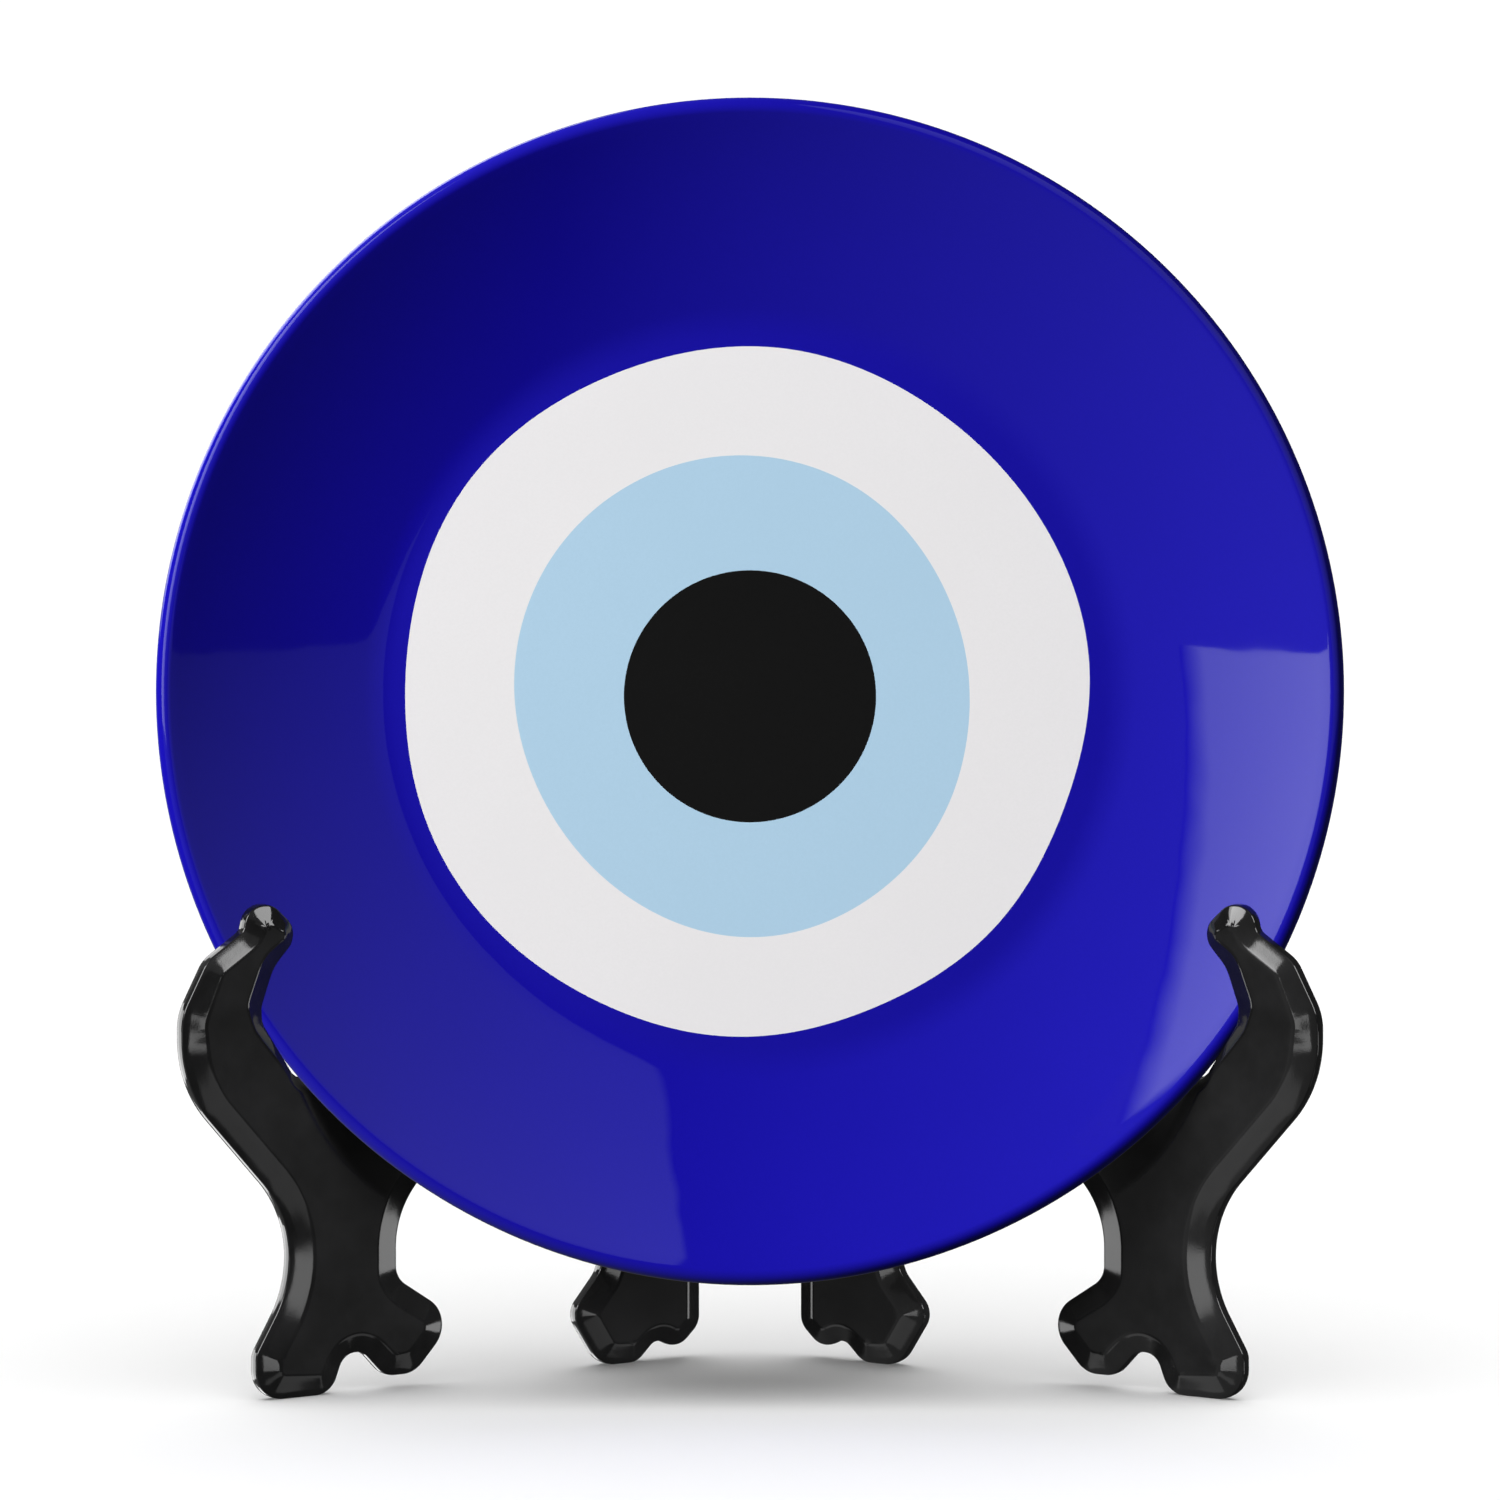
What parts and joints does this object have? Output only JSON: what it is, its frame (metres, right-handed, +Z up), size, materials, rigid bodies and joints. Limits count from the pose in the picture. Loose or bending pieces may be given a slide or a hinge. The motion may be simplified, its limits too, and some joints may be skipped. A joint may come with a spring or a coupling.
{
  "type": "evil eye ornament",
  "caption": "Round glazed plate painted as an evil eye, leaning in a black easel whose hinged wings fold together once it is lifted out.",
  "frame": {"origin": "centre of the footprint, on the floor under the easel's toes", "axes": "+Z up, -Y towards the viewer, +X to the viewer's right"},
  "size_m": [0.2, 0.057, 0.2176],
  "materials": {
    "white_glaze": "clear gloss glaze over white ceramic",
    "blue_print": "deep blue print under a clear gloss glaze",
    "white_print": "white print under a clear gloss glaze",
    "light_blue_print": "pale blue print under a clear gloss glaze",
    "black_print": "black print under a clear gloss glaze",
    "black_plastic": "polished injection moulding",
    "rod_steel": "bright drawn steel rod with turned ends"
  },
  "bodies": {
    "hinge_rod": {"hinge_rod": "rod_steel"},
    "plate": {"plate_body": "white_glaze", "print_blue_ground": "blue_print", "print_white_ring": "white_print", "print_light_blue_ring": "light_blue_print", "print_black_pupil": "black_print"},
    "left_wing": {"left_wing": "black_plastic"},
    "right_wing": {"right_wing": "black_plastic"}
  },
  "joints": [
    {"name": "plate_lift", "type": "slide", "parent": "hinge_rod", "child": "plate", "axis": [0, -0.0995, 0.995], "range_m": [0, 0.2412]},
    {"name": "left_wing_fold", "type": "hinge", "parent": "hinge_rod", "child": "left_wing", "pos_m": [0, 0.02522, 0], "axis": [0, 0, 1], "range_deg": [0, 60]},
    {"name": "right_wing_fold", "type": "hinge", "parent": "hinge_rod", "child": "right_wing", "pos_m": [0, 0.02522, 0], "axis": [0, 0, 1], "range_deg": [-60, 0]}
  ],
  "couplings": [
    {"joint": "left_wing_fold", "follows": "plate_lift", "rad_per_m": 4.34},
    {"joint": "right_wing_fold", "follows": "plate_lift", "rad_per_m": -4.34}
  ]
}
